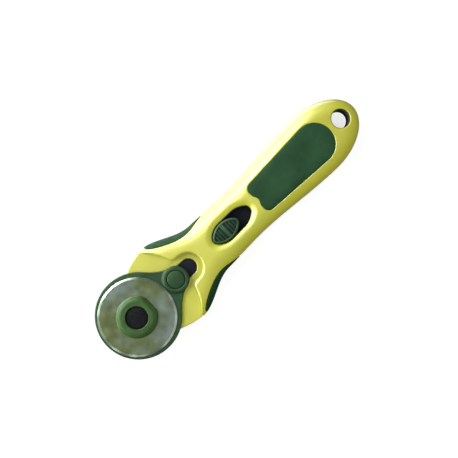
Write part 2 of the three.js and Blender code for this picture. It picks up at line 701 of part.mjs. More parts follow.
addPiece('front_shell', frontShell(form, hollow), materials.yellowPlastic);
addPiece('back_shell', backShell(form, hollow), materials.yellowPlastic);
addPiece('front_pad', pad(form, 1), materials.softGrip);
addPiece('back_pad', pad(form, -1), materials.softGrip);
addPiece('left_finger_grip', fingerGrip(form, 1), materials.softGrip);
addPiece('right_finger_grip', fingerGrip(form, -1), materials.softGrip);
addPiece('blade', blade(), materials.bladeSteel);
addPiece('blade_flange', bladeFlange(), materials.greenPlastic);
addPiece('axle_bolt', axleBolt(), materials.blackSteel);
addPiece('blade_guard', bladeGuard(), materials.greenPlastic);
addPiece('guard_pin', guardPin(), materials.greenPlastic);
addPiece('slide_link', slideLink(), materials.blackPlastic);
addPiece('slider_button', sliderButton(), materials.greenPlastic);
addPiece('detent_spring', detentSpring(), materials.springSteel);
addPiece('spring_screw', springScrew(), materials.screwSteel);
addPiece('wave_washer', waveWasher(), materials.springSteel);
addPiece('nut_knob', nutKnob(), materials.greenPlastic);
addPiece('nut_insert', nutInsert(), materials.brass);
SCREW_PLACES.forEach((place, i) => {
  addPiece(`body_screw_${i + 1}`, bodyScrew(place), materials.screwSteel);
});

export default cutter;
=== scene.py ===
# A rotary cutter lying on a pale table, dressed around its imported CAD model.
#
# Most pieces are described as fields: functions of x, y and z in millimetres that are negative inside
# the piece, 0 on its surface and about the distance to it elsewhere. contour() turns a field into a mesh.
# Inside the fields z is measured from the plane where the handle's two shells meet. x runs along the
# handle from the blade's axis.

import math

import bpy
import numpy as np
from mathutils import Matrix, Vector


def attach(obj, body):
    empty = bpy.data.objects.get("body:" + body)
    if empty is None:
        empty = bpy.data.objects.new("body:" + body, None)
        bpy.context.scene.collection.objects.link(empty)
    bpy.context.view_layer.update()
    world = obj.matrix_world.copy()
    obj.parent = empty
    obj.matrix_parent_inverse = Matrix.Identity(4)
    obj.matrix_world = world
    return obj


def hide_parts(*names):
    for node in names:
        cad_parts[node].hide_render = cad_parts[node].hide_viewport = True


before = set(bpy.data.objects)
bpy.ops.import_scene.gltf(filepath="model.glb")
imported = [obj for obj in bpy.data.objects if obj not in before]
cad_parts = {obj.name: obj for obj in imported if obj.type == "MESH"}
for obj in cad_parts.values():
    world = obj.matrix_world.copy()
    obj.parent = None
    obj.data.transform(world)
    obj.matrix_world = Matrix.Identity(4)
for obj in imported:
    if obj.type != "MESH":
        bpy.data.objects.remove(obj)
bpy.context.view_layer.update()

MM = 0.001
PARTING_HEIGHT = 10.8  # from the table to the plane where the shells meet
FAR = 80.0

NECK_HALF_WIDTH = 15.5
NECK_SWELL, NECK_START, NECK_END = 1.0, 50.0, 84.0
EAR_FLARE, EAR_START, EAR_END = 9.5, 27.0, 56.0
PALM_SWELL, PALM_START, PALM_END = 3.5, 82.0, 140.0
TAIL_X = 170.44
HEAD_HALF_HEIGHT, NECK_RISE, PALM_RISE, TAIL_DROP = 7, 2, 1.8, 2.8
EDGE_ROUNDING = 11.0
ROUNDING_POWER = 2.3

GRIP_START, GRIP_LENGTH, GRIP_DEPTH = 29.5, 37.5, 4.3
GRIP_LEAN = 0.53  # below 1, the deepest place lies toward the head

TONGUE_RADIUS, TONGUE_HALF_THICKNESS = 12.5, 2.2
GUARD_X, GUARD_RADIUS = 0.9, 24.7
GUARD_BOTTOM, GUARD_TOP = 2.5, 4.2
LUG_X, LUG_RADIUS, LUG_TOP = 30.6, 7.6, 6.4
PIN_HOLE_RADIUS = 2.6
TRAVEL = 9.0
SLOT_END = LUG_X + TRAVEL + 0.4
BOLT_HOLE_RADIUS = 3.15
BUTTON_X, BUTTON_TOP = 69.7, 9.4
DISH_DEPTH, DISH_WIDTH = 1.5, 3.6
GROOVES_EACH_SIDE, FIRST_GROOVE, GROOVE_PITCH = 4, 1.75, 1.85
GROOVE_HALF_WIDTH, GROOVE_DEPTH = 0.7, 1.1
HOLE_X, HOLE_RADIUS = 159.3, 5.3
PAD_FLOOR = 7.9
PAD_FRONT, PAD_REAR_X, PAD_REAR_RADIUS, PAD_LOBE_RADIUS = 93.6, 138.7, 11.7, 3.6
DETENT_X, SPRING_SCREW_X = 84, 105
FLOOR_GLOW = 0.7  # the paper's own light, which keeps it white round the cutter
SCREW_PLACES = [(47, 9.6), (47, -9.6), (88, 9.8), (88, -9.8)]
BOSS_RADIUS, SCREW_HOLE_RADIUS, SCREW_SEAT_RADIUS, SCREW_SEAT_Z = 2.8, 1.6, 3.0, -6.0
WALL = 2.0
SEAM = 0.08  # half of the gap between the shells
FIT = 0.06  # gap round the pieces set into the shells


# ---------------------------------------------------------------- fields


def smoothstep(value, low, high):
    t = np.clip((value - low) / (high - low), 0, 1)
    return t * t * (3 - 2 * t)


def both(a, b, radius=None):
    """What is inside a and b, with the edge between them rounded."""
    if radius is None:
        return np.maximum(a, b)
    corner = np.hypot(np.maximum(a + radius, 0), np.maximum(b + radius, 0))
    return np.minimum(np.maximum(a, b), -radius) + corner


def either(a, b, radius=None):
    """What is inside a or b, with the corner between them filled."""
    return -both(-a, -b, radius)


def without(a, b, radius=None):
    return both(a, -b, radius)


def between(value, low, high):
    return np.maximum(low - value, value - high)


def disc(x, y, radius, centre_x=0.0, centre_y=0.0):
    return np.hypot(x - centre_x, y - centre_y) - radius


def stadium(x, y, start_x, end_x, radius):
    """A slot with round ends along x."""
    return np.hypot(x - np.clip(x, start_x, end_x), y) - radius


def half_width(x, inset=0.0):
    ear = EAR_FLARE * (1 - smoothstep(x, EAR_START, EAR_END))
    neck = NECK_HALF_WIDTH + NECK_SWELL * (1 - smoothstep(x, NECK_START, NECK_END))
    return neck + ear + PALM_SWELL * smoothstep(x, PALM_START, PALM_END) - inset


def half_height(x):
    palm = PALM_RISE * smoothstep(x, 75, 125) - TAIL_DROP * smoothstep(x, 138, 172)
    return HEAD_HALF_HEIGHT + NECK_RISE * smoothstep(x, 30, 70) + palm


def edge_distance(x, y, inset=0.0):
    """How far inside the handle's plan outline a point is."""
    length, width = TAIL_X - PALM_END - inset, NECK_HALF_WIDTH + PALM_SWELL - inset
    across_x, across_y = (x - PALM_END) / length, y / width
    ratio = np.maximum(np.hypot(across_x, across_y), 1e-6)
    steepness = np.maximum(np.hypot(across_x / length, across_y / width), 1e-9)
    return np.where(x <= PALM_END, half_width(x, inset) - np.abs(y), (1 - ratio) * ratio / steepness)


def grip_depth(x):
    along = np.clip((x - GRIP_START) / GRIP_LENGTH, 0, 1)
    return GRIP_DEPTH * np.sin(np.pi * along**GRIP_LEAN)


def rounded_body(x, y, z, height, inset=0.0, rounding=EDGE_ROUNDING):
    outside = np.clip(1 - edge_distance(x, y, inset) / rounding, 0, None)
    rise = (outside**ROUNDING_POWER + (np.abs(z) / height) ** ROUNDING_POWER) ** (1 / ROUNDING_POWER)
    return (rise - 1) * height


def button_plan(x, y, growth=0.0, stretch=0.0):
    """A lens with rounded tips, swept along x by stretch."""
    along = np.abs(x - BUTTON_X - np.clip(x - BUTTON_X, 0, stretch))
    across = np.abs(y)
    tip, belly, tip_radius = 6.2, 2.45, 3.0
    arc = (tip**2 + belly**2) / (2 * belly)
    centre = arc - belly
    beyond_tip = (along - tip) * centre > across * tip
    side = np.hypot(along, across + centre) - arc
    return np.where(beyond_tip, np.hypot(along - tip, across), side) - tip_radius - growth


def outer_form(x, y, z):
    """The handle's whole outer form: crowned faces, and a shallow dish round the button's slot."""
    crown = 1 - 0.03 * (y / half_width(x)) ** 2
    dish = DISH_DEPTH * np.clip(1 - button_plan(x, y, 0.35, TRAVEL) / DISH_WIDTH, 0, 1) ** 1.5 * (z > 0)
    return rounded_body(x, y, z, half_height(x) * crown - dish)


def cavity(x, y, z):
    """The room inside the handle. Its walls are thicker behind the pads and solid round the screws."""
    backing = 2.2 * smoothstep(x, 87.7, 92.7) * (1 - smoothstep(x, 150.8, 155.8))
    side = np.abs(y) + grip_depth(x)
    hollow = rounded_body(x, side, z, half_height(x) - WALL - backing, WALL, EDGE_ROUNDING - 1)
    hollow = np.maximum(hollow, -(head_plan(x, y) - WALL))
    hollow = np.maximum(hollow, -disc(x, y, HOLE_RADIUS + WALL, HOLE_X))
    for screw_x, screw_y in SCREW_PLACES:
        hollow = np.maximum(hollow, -disc(x, y, BOSS_RADIUS, screw_x, screw_y))
    return hollow


def head_plan(x, y):
    """The part of the plan in front of the handle's shoulder, with the channel for the guard's lug."""
    out = np.abs(y) - 10.1
    shoulder = (x - (34.9 - 0.22 * out - 0.0255 * out * np.maximum(out, 0))) * 0.9
    channel = stadium(x, y, 15, SLOT_END, LUG_RADIUS + 0.6)
    return either(shoulder, channel, 3.0)


def back_head_plan(x, y):
    return (x - (36.6 - 0.016 * y**2)) * 0.9


def tongue_plan(x, y):
    """A disc round the axle, and straight flanks from it to the two corners beside the guard."""
    side = np.abs(y)
    corner = np.array([13.5, 23.65])
    rear_across, rear_along = 0.9897, 0.143
    turn = math.atan2(corner[1], corner[0]) + math.acos(TONGUE_RADIUS / math.hypot(*corner))
    normal = np.array([math.cos(turn), math.sin(turn)])
    along = x * normal[1] - side * normal[0]
    from_axle = np.where(along < 0, np.hypot(x, side), x * normal[0] + side * normal[1])
    flank = from_axle - TONGUE_RADIUS
    rear = (side - corner[1]) * rear_across - (x - corner[0]) * rear_along
    return both(flank, rear, 4.0)


def tongue(x, y, z):
    flat = between(z, -TONGUE_HALF_THICKNESS, TONGUE_HALF_THICKNESS)
    plate = np.maximum(both(tongue_plan(x, y), flat, 0.4), head_plan(x, y) - 0.5)
    root = np.maximum(np.maximum(np.abs(y) - TONGUE_RADIUS, flat), between(x, 20, 50))
    return np.minimum(plate, root)


def grip_plan(x, y):
    """The two crescents beside the head."""
    slope = 0.88
    return ((half_width(x) - grip_depth(x)) - np.abs(y)) * slope


def pad_plan(x, y):
    side = np.abs(y)
    slope = math.atan2(2.1, 41.4)
    lobe_x, lobe_y = 97.3, 6.0
    notch_depth, notch_width = 1.5, 2.5
    flank = (side - lobe_y) * math.cos(slope) - (x - lobe_x) * math.sin(slope) - PAD_LOBE_RADIUS
    rear = np.where(x > PAD_REAR_X, np.hypot(x - PAD_REAR_X, y) - PAD_REAR_RADIUS, flank)
    front = PAD_FRONT + notch_depth * np.exp(-((y / notch_width) ** 2)) - x
    return both(rear, front, PAD_LOBE_RADIUS)


def pad_space(x, y, z, side):
    return np.maximum(pad_plan(x, y), PAD_FLOOR - side * z)


def cut_hole(solid, x, y):
    return without(solid, disc(x, y, HOLE_RADIUS, HOLE_X), 1.1)


def front_shell(x, y, z):
    solid = both(outer_form(x, y, z), SEAM - z, 0.25)
    solid = np.maximum(solid, both(-edge_distance(x, y), -head_plan(x, y), 3.0))
    solid = without(solid, head_plan(x, y), 0.6 + smoothstep(edge_distance(x, y), 0, 6))
    solid = without(solid, button_plan(x, y, 0.35, TRAVEL), 0.6)
    solid = cut_hole(solid, x, y)
    solid = without(solid, grip_plan(x, y) - FIT, 0.15)
    solid = without(solid, pad_space(x, y, z, 1) - FIT, 0.25)
    solid = without(solid, cavity(x, y, z))
    room = np.maximum(np.maximum(np.abs(y) - 12.6, z - 2.4), x - 52)
    solid = without(solid, room)
    for screw_x, screw_y in SCREW_PLACES:
        pilot = np.maximum(disc(x, y, SCREW_HOLE_RADIUS, screw_x, screw_y), z - 4.5)
        solid = without(solid, pilot)
    return solid


def back_shell(x, y, z):
    solid = both(outer_form(x, y, z), z + SEAM, 0.25)
    solid = np.maximum(solid, both(-edge_distance(x, y), -back_head_plan(x, y), 3.0))
    solid = without(solid, back_head_plan(x, y), 0.8)
    solid = cut_hole(solid, x, y)
    solid = without(solid, grip_plan(x, y) - FIT, 0.15)
    solid = without(solid, pad_space(x, y, z, -1) - FIT, 0.25)
    solid = without(solid, cavity(x, y, z))
    rail = np.maximum(between(np.abs(y), 3.6, 5), between(x, 52, 97))
    rail = np.maximum(rail, z + 1.0)
    post = np.maximum(disc(x, y, 2.6, SPRING_SCREW_X), z + 3.1)
    support = both(np.minimum(rail, post), outer_form(x, y, z) + 1)
    solid = np.minimum(solid, support)
    solid = np.minimum(solid, tongue(x, y, z))
    tunnel = np.maximum(stadium(x, y, LUG_X, 60, 4.95), between(z, -1.0, 1.4))
    slot = both(stadium(x, y, LUG_X, SLOT_END, 5.0), -0.8 - z)
    solid = without(solid, tunnel)
    from_slot = stadium(x, y, LUG_X, SLOT_END, 5.2)
    # A shallow ring round the slot. The tunnel's roof below it is only 0.8 mm thick.
    dip = 0.3 * np.clip(from_slot / 3.0, 0, 1) * smoothstep(x, 31, 38)
    solid = without(solid, np.maximum(TONGUE_HALF_THICKNESS - dip - z, from_slot - 3.4))
    solid = without(solid, slot, 0.3)
    flats = both(disc(x, y, BOLT_HOLE_RADIUS), np.abs(y) - 2.55)
    solid = without(solid, flats, 0.2)
    solid = without(solid, np.maximum(disc(x, y, 1.25, SPRING_SCREW_X), -6.6 - z))
    for screw_x, screw_y in SCREW_PLACES:
        solid = without(solid, disc(x, y, SCREW_HOLE_RADIUS, screw_x, screw_y))
        seat = np.maximum(disc(x, y, SCREW_SEAT_RADIUS, screw_x, screw_y), z - SCREW_SEAT_Z)
        solid = without(solid, seat, 0.3)
    return solid


def pad(x, y, z, side):
    return both(outer_form(x, y, z), pad_space(x, y, z, side), 0.45)


def finger_grip(x, y, z, side):
    solid = both(outer_form(x, y, z), grip_plan(x, y), 0.4)
    return np.maximum(np.maximum(solid, between(x, 29.9, 66.2)), -side * y)


def blade_guard(x, y, z):
    round_plan = disc(x, y, GUARD_RADIUS, GUARD_X)
    layer = between(z, GUARD_BOTTOM, GUARD_TOP)
    plate = both(round_plan, layer, 0.55)
    lug = both(disc(x, y, LUG_RADIUS, LUG_X), between(z, GUARD_BOTTOM, LUG_TOP), 0.9)
    arm_plan = np.maximum(np.abs(y) - 7.3, between(x, 15, LUG_X))
    arm = both(either(arm_plan, round_plan, 9.0), layer, 0.5)
    solid = either(np.minimum(plate, np.maximum(arm, 10 - x)), lug, 0.7)
    solid = without(solid, np.maximum(disc(x, y, 5.3, LUG_X), 5.0 - z), 0.3)
    solid = without(solid, disc(x, y, PIN_HOLE_RADIUS, LUG_X))
    return without(solid, stadium(x, y, -TRAVEL, 0, 4.25), 0.3)


def guard_pin(x, y, z):
    radius = np.hypot(x, y)
    head = both(radius - 5.0, between(z, 5.2, 6.7 - 0.014 * radius**2), 0.4)
    shank = both(radius - 2.4, between(z, -0.6, 5.4), 0.3)
    return np.minimum(head, shank)


def slide_link(x, y, z):
    width = 4.65 + 1.65 * smoothstep(x, 55, 58)
    side = np.maximum(np.abs(y) - width, between(x, LUG_X, 92))
    plan = np.minimum(side, disc(x, y, 4.65, LUG_X))
    solid = both(plan, between(z, -0.8, 1.2), 0.3)
    solid = without(solid, disc(x, y, PIN_HOLE_RADIUS, LUG_X), 0.2)
    solid = without(solid, disc(x, y, 2.2, BUTTON_X), 0.2)
    for notch_x in (DETENT_X, DETENT_X - TRAVEL):
        notch = both(np.abs(x - notch_x) - 1, np.abs(y) - 3)
        solid = without(solid, np.maximum(notch, z + 0.3))
    return solid


def slider_button(x, y, z):
    top = BUTTON_TOP - 0.022 * (y**2) - 0.0035 * (x - BUTTON_X) ** 2
    plan = button_plan(x, y, -0.05)
    solid = both(plan, between(z, 1.4, top), 0.55)
    inner = button_plan(x, y, -1.25)
    solid = without(solid, both(inner, top - 0.28 - z), 0.12)
    cuts = np.full(np.broadcast(x, y, z).shape, FAR)
    for i in range(GROOVES_EACH_SIDE):
        for side in (-1, 1):
            middle = BUTTON_X + side * (FIRST_GROOVE + GROOVE_PITCH * i)
            cuts = np.minimum(cuts, np.abs(x - middle) - GROOVE_HALF_WIDTH)
    groove = both(both(cuts, inner), top - GROOVE_DEPTH - z)
    solid = without(solid, groove, 0.12)
    hollow = np.maximum(button_plan(x, y, -1.5), between(z, -FAR, BUTTON_TOP - 2.4))
    solid = without(solid, hollow)
    post = both(disc(x, y, 2.0, BUTTON_X), between(z, -0.6, BUTTON_TOP - 1.2), 0.2)
    return np.minimum(solid, post)


def blade_flange(x, y, z):
    radius = np.hypot(x, y)
    ring = both(both(radius - 11.8, between(z, 5.0, 8.3), 0.4), (radius * 0.6 + z * 0.8 - 12.7), 0.8)
    slope = np.maximum(x - 10.7, ((x - 8.9) * 1.8 + (z - 8.3) * 1.8) / 2.55)
    ring = both(ring, slope, 0.35)
    ring = without(ring, np.maximum(radius - 6.5, 5.8 - z), 0.4)
    hub = both(radius - 3.9, between(z, 2.5, 5.8), 0.15)
    return without(np.minimum(ring, hub), radius - BOLT_HOLE_RADIUS)


def axle_bolt(x, y, z):
    radius = np.hypot(x, y)
    head = both(radius - 6.2, between(z, 6.0, 7.2 - 0.01 * radius**2), 0.4)
    shank = both(radius - 3.0, between(z, -8.8, 6.3), 0.3)
    flats = np.where(between(z, -2.5, 2.2) < 0, np.abs(y) - 2.4, -FAR)
    turn = np.arctan2(y, x) / (2 * np.pi)
    thread = np.abs(((z - turn) % 1.0) - 0.5) * 1.1
    groove = np.where(z < -2.6, radius - (2.45 + thread), -FAR)
    return np.minimum(head, np.maximum(np.maximum(shank, flats), groove))


def nut_knob(x, y, z):
    radius, turn = np.hypot(x, y), np.arctan2(y, x)
    wave = radius - (9.15 + 0.45 * np.cos(12 * turn))
    solid = both(wave, between(z, -PARTING_HEIGHT, -3.7), 0.9)
    ring = both(np.abs(radius - 6.9) - 0.45, -(z + PARTING_HEIGHT - 0.35))
    solid = without(solid, ring, 0.15)
    return without(solid, np.maximum(hexagon(x, y, 4.9), 1.2 - PARTING_HEIGHT - z), 0.25)


def hexagon(x, y, inner_radius):
    flats = [np.abs(x * math.cos(a) + y * math.sin(a)) for a in (math.pi / 6, math.pi / 2, 5 * math.pi / 6)]
    return np.maximum(np.maximum(flats[0], flats[1]), flats[2]) - inner_radius


def nut_insert(x, y, z):
    solid = both(hexagon(x, y, 4.7), between(z, -9.4, -3.9), 0.3)
    return without(solid, np.hypot(x, y) - BOLT_HOLE_RADIUS, 0.3)


def detent_spring(x, y, z):
    bump = 1.4 * np.exp(-(((x - DETENT_X) / 1.7) ** 2))
    strip = both(between(z, -2.9 + bump, -2.5 + bump) * 0.75, between(x, 81, 109), 0.15)
    strip = both(strip, np.abs(y) - 2.5, 0.1)
    return without(strip, disc(x, y, 1.3, SPRING_SCREW_X))


def screw(x, y, z):
    """A pan-head self-tapping screw along z: the head's underside is at z = 0 and the shank points up."""
    radius = np.hypot(x, y)
    turn = np.arctan2(y, x) / (2 * np.pi)
    pitch = 1.1
    thread = np.abs((((z - turn * pitch) / pitch) % 1.0) - 0.5) * 0.8
    taper = np.maximum(0, z - 8.4) * 0.55
    shank = both(radius - (1.05 + thread - taper), between(z, -0.2, 10.0), 0.05)
    head = both(radius - 2.7, between(z, -1.4 + 0.05 * radius**2, 0), 0.3)
    arm_half_width, reach = 0.32, 1.5
    arm_x = np.maximum(np.abs(y) - arm_half_width, np.abs(x) - reach)
    arm_y = np.maximum(np.abs(x) - arm_half_width, np.abs(y) - reach)
    arms = np.minimum(arm_y, arm_x)
    return without(np.minimum(head, shank), both(arms, z + 0.55), 0.08)


def spring_screw(x, y, z):
    radius = np.hypot(x, y)
    head = both(radius - 2.1, between(z, -2.45, -1.35 - 0.06 * radius**2), 0.25)
    shank = both(radius - 1.1, between(z, -6.3, -2.3), 0.1)
    return np.minimum(head, shank)


# ---------------------------------------------------------------- meshes

BISECTIONS = 9
SURFACE_STEPS = 2

def contour(field, low, high, step):
    """The surface where the field is 0, as vertices and four-sided faces, by dual contouring.

    Each grid cell that the surface crosses gets one vertex, placed where the planes of the surface
    through the cell's edges meet. Two last steps along the field's slope bring it onto the surface.
    """
    axes = [np.arange(a - 1.5 * step, b + 2.5 * step, step) for a, b in zip(low, high)]
    origin = np.array([a[0] for a in axes])
    size = np.array([len(a) for a in axes])
    grid = field(axes[0][:, None, None], axes[1][None, :, None], axes[2][None, None, :])
    inside = np.broadcast_to(grid, size) < 0

    def sample(points):
        return field(points[:, 0], points[:, 1], points[:, 2])

    def gradient(points):
        reach = 0.02 * step
        changes = [sample(points + reach * e) - sample(points - reach * e) for e in np.eye(3)]
        return np.stack(changes, axis=1) / (2 * reach)

    cells, planes, faces_of = [], [], []
    for axis in range(3):
        ahead = [slice(None)] * 3
        behind = [slice(None)] * 3
        ahead[axis], behind[axis] = slice(1, None), slice(None, -1)
        starts_inside = inside[tuple(behind)]
        place = np.argwhere(starts_inside != inside[tuple(ahead)])
        outward = starts_inside[tuple(place.T)]
        near = origin + place * step
        along = np.zeros(3)
        along[axis] = step
        low_t, high_t = np.zeros(len(place)), np.ones(len(place))
        for _ in range(BISECTIONS):
            middle = (low_t + high_t) / 2
            same = (sample(near + middle[:, None] * along) < 0) == outward
            low_t, high_t = np.where(same, middle, low_t), np.where(same, high_t, middle)
        points = near + ((low_t + high_t) / 2)[:, None] * along
        slope = gradient(points)
        slope /= np.maximum(np.linalg.norm(slope, axis=1), 1e-12)[:, None]
        u, v = (axis + 1) % 3, (axis + 2) % 3
        around = []
        for du, dv in ((-1, -1), (0, -1), (0, 0), (-1, 0)):
            cell = place.copy()
            cell[:, u] += du
            cell[:, v] += dv
            around.append((cell[:, 0] * size[1] + cell[:, 1]) * size[2] + cell[:, 2])
        around = np.stack(around, axis=1)
        cells.append(around.ravel())
        planes.append(np.repeat(np.hstack([points, slope]), 4, axis=0))
        faces_of.append(np.where(outward[:, None], around, around[:, ::-1]))

    cell_ids, member = np.unique(np.concatenate(cells), return_inverse=True)
    member = member.ravel()
    planes = np.concatenate(planes)
    points, normals = planes[:, :3], planes[:, 3:]
    count = np.bincount(member)
    total = len(cell_ids)

    def summed(values):
        return np.stack([np.bincount(member, v, total) for v in values.T], axis=1)

    mean = summed(points) / count[:, None]
    offset = np.einsum("ij,ij->i", normals, points - mean[member])
    pull = summed(normals * offset[:, None])
    outer = summed((normals[:, :, None] * normals[:, None, :]).reshape(-1, 9)).reshape(-1, 3, 3)
    outer += (0.04 * count)[:, None, None] * np.eye(3)
    vertices = mean + np.linalg.solve(outer, pull[:, :, None])[:, :, 0]
    corner = origin + np.stack(np.unravel_index(cell_ids, size), axis=1) * step
    vertices = np.clip(vertices, corner, corner + step)
    for _ in range(SURFACE_STEPS):
        distance = sample(vertices)
        slope = gradient(vertices)
        steepness = np.maximum((slope**2).sum(axis=1), 0.05)
        move = np.clip(-distance / steepness, -0.2 * step, 0.2 * step)
        vertices += move[:, None] * slope
    faces = np.searchsorted(cell_ids, np.concatenate(faces_of))
    return vertices, faces


def mesh_object(name, vertices, faces):
    """An object in metres from vertices in millimetres, whose z is measured from the parting plane."""
    mesh = bpy.data.meshes.new(name)
    mesh.vertices.add(len(vertices))
    placed = (np.asarray(vertices, float) + [0, 0, PARTING_HEIGHT]) * MM
    mesh.vertices.foreach_set("co", placed.astype(np.float32).ravel())
    corners = np.concatenate([np.asarray(f, np.int32) for f in faces])
    counts = np.array([len(f) for f in faces], np.int32)
    mesh.loops.add(len(corners))
    mesh.loops.foreach_set("vertex_index", corners)
    mesh.polygons.add(len(counts))
    mesh.polygons.foreach_set("loop_start", np.concatenate([[0], np.cumsum(counts)[:-1]]).astype(np.int32))
    mesh.update(calc_edges=True)
    mesh.validate()
    mesh.polygons.foreach_set("use_smooth", np.ones(len(mesh.polygons), bool))
    piece = bpy.data.objects.new(name, mesh)
    bpy.context.scene.collection.objects.link(piece)
    return piece


def sculpted(name, field, low, high, step, move=(0, 0, 0)):
    vertices, faces = contour(field, low, high, step)
    return mesh_object(name, vertices + np.array(move), faces)


def with_fillets(profile, steps=5):
    """Rounds the corners of a closed profile of (radius, z, fillet) points."""
    points = [np.array(p[:2], float) for p in profile]
    out = []
    for i, (here, fillet) in enumerate(zip(points, [p[2] for p in profile])):
        before, after = points[i - 1] - here, points[(i + 1) % len(points)] - here
        reach = min(fillet, np.linalg.norm(before) / 2, np.linalg.norm(after) / 2)
        if reach <= 0:
            out.append(here)
            continue
        start = here + before / np.linalg.norm(before) * reach
        end = here + after / np.linalg.norm(after) * reach
        for k in range(steps + 1):
            t = k / steps
            out.append((1 - t) ** 2 * start + 2 * t * (1 - t) * here + t**2 * end)
    return out


def turned(name, profile, segments, lift=None):
    """A closed profile turned about the z axis. It runs clockwise with z up and the axis on the left."""
    ring = with_fillets(profile)
    vertices, faces = [], []
    for s in range(segments):
        turn = 2 * math.pi * s / segments
        rise = lift(turn) if lift else 0.0
        vertices += [(r * math.cos(turn), r * math.sin(turn), z + rise) for r, z in ring]
    count = len(ring)
    for s in range(segments):
        for i in range(count):
            here, up = s * count, (s + 1) % segments * count
            faces.append((here + i, here + (i + 1) % count, up + (i + 1) % count, up + i))
    return mesh_object(name, vertices, faces)


# ---------------------------------------------------------------- materials


def rgb(red, green, blue):
    """A linear colour with alpha from 8-bit sRGB values."""
    levels = [v / 255 for v in (red, green, blue)]
    return (*[v / 12.92 if v <= 0.04045 else ((v + 0.055) / 1.055) ** 2.4 for v in levels], 1.0)


class Surface:
    """A node material around one Principled shader. Texture positions are in metres, in the model's frame."""

    def __init__(self, name, **values):
        self.material = bpy.data.materials.new(name)
        self.material.use_nodes = True
        self.tree = self.material.node_tree
        self.shader = self.tree.nodes["Principled BSDF"]
        self.place = self.tree.nodes.new("ShaderNodeTexCoord").outputs["Object"]
        for socket, value in values.items():
            self.shader.inputs[socket.replace("_", " ")].default_value = value

    def node(self, kind, sockets=None, **settings):
        made = self.tree.nodes.new(kind)
        for key, value in settings.items():
            setattr(made, key, value)
        for key, value in (sockets or {}).items():
            if isinstance(value, bpy.types.NodeSocket):
                self.tree.links.new(value, made.inputs[key])
            else:
                made.inputs[key].default_value = value
        return made

    def stretched(self, scale):
        return self.node("ShaderNodeMapping", {"Vector": self.place, "Scale": scale}).outputs[0]

    def noise(self, scale, detail=3.0, roughness=0.5, stretch=None):
        vector = self.stretched(stretch) if stretch else self.place
        sockets = {"Vector": vector, "Scale": scale, "Detail": detail, "Roughness": roughness}
        return self.node("ShaderNodeTexNoise", sockets).outputs["Fac"]

    def spread(self, value, low, high, start=0.35, end=0.65):
        """Maps the texture's values from start..end to low..high."""
        sockets = {"Value": value, "From Min": start, "From Max": end, "To Min": low, "To Max": high}
        return self.node("ShaderNodeMapRange", sockets).outputs[0]

    def math(self, operation, a, b=0.0):
        made = self.node("ShaderNodeMath", {0: a, 1: b}, operation=operation)
        return made.outputs[0]

    def mottle(self, noise, dark, light):
        """A colour that wanders between two with the noise."""
        return self.blend(self.spread(noise, 0, 1), dark, light)

    def axis_distance(self, centre_x_mm=0.0):
        """The distance from an upright axis, in metres."""
        centre = (centre_x_mm * MM, 0, 0)
        off = self.node("ShaderNodeVectorMath", {0: self.place, 1: centre}, operation="SUBTRACT").outputs[0]
        flat = self.node("ShaderNodeVectorMath", {0: off, 1: (1, 1, 0)}, operation="MULTIPLY").outputs[0]
        return self.node("ShaderNodeVectorMath", {0: flat}, operation="LENGTH").outputs["Value"]

    def blend(self, share, first, second):
        made = self.node("ShaderNodeMix", data_type="RGBA")
        for index, value in ((0, share), (6, first), (7, second)):
            if isinstance(value, bpy.types.NodeSocket):
                self.tree.links.new(value, made.inputs[index])
            else:
                made.inputs[index].default_value = value
        return made.outputs[2]

    def drive(self, socket, output):
        self.tree.links.new(output, self.shader.inputs[socket])

    def bump(self, height, distance_mm, strength=1.0, under=None):
        sockets = {"Height": height, "Distance": distance_mm * MM, "Strength": strength}
        if under is not None:
            sockets["Normal"] = under
        return self.node("ShaderNodeBump", sockets).outputs[0]


def yellow_plastic():
    """Glossy plastic with a clear coat. The wall of the hanging hole is painted near black, dull and without
    coat, as painted shade.
    """
    s = Surface("yellow_plastic", IOR=1.5, Coat_Roughness=0.36, Coat_IOR=1.5)
    body = s.mottle(s.noise(26, 3, 0.55), (0.41, 0.390, 0.002, 1), (0.45, 0.440, 0.005, 1))
    from_hole = s.axis_distance(HOLE_X)
    # Painted shade: near the hanging hole's wall the colour turns near black, and the surface turns dull and
    # loses its coat.
    hole_shade_band = (HOLE_RADIUS + 0.2) * MM, (HOLE_RADIUS + 0.4) * MM
    hole_shade = s.spread(from_hole, 1, 0, *hole_shade_band)
    s.drive("Base Color", s.blend(hole_shade, body, (0.010, 0.022, 0.010, 1)))
    gloss = s.spread(s.noise(160, 4, 0.6), 0.42, 0.50)
    s.drive("Roughness", s.blend(hole_shade, gloss, (0.9, 0.9, 0.9, 1)))
    s.drive("Coat Weight", s.spread(from_hole, 0, 1, *hole_shade_band))
    peel = s.bump(s.noise(420, 3, 0.5), 0.012, 0.5)
    s.drive("Normal", s.bump(s.noise(4200, 2, 0.5), 0.005, 0.5, peel))
    return s.material


def soft_rubber(name, ribs=False):
    s = Surface(name, IOR=1.45, Specular_IOR_Level=0.12)
    s.drive("Base Color", s.mottle(s.noise(60, 4, 0.6), (0.006, 0.034, 0.011, 1), (0.013, 0.053, 0.019, 1)))
    s.drive("Roughness", s.spread(s.noise(300, 3, 0.6), 0.62, 0.78))
    grain = s.node("ShaderNodeTexVoronoi", {"Vector": s.place, "Scale": 1500.0}).outputs["Distance"]
    normal = s.bump(grain, 0.05, 0.7)
    normal = s.bump(s.noise(5200, 2, 0.5), 0.012, 0.6, normal)
    if ribs:
        wave = s.node(
            "ShaderNodeTexWave",
            {"Vector": s.place, "Scale": 260.0, "Distortion": 0.0},
            wave_type="BANDS",
            bands_direction="X",
        ).outputs["Fac"]
        normal = s.bump(wave, 0.22, 0.8, normal)
    s.drive("Normal", normal)
    return s.material


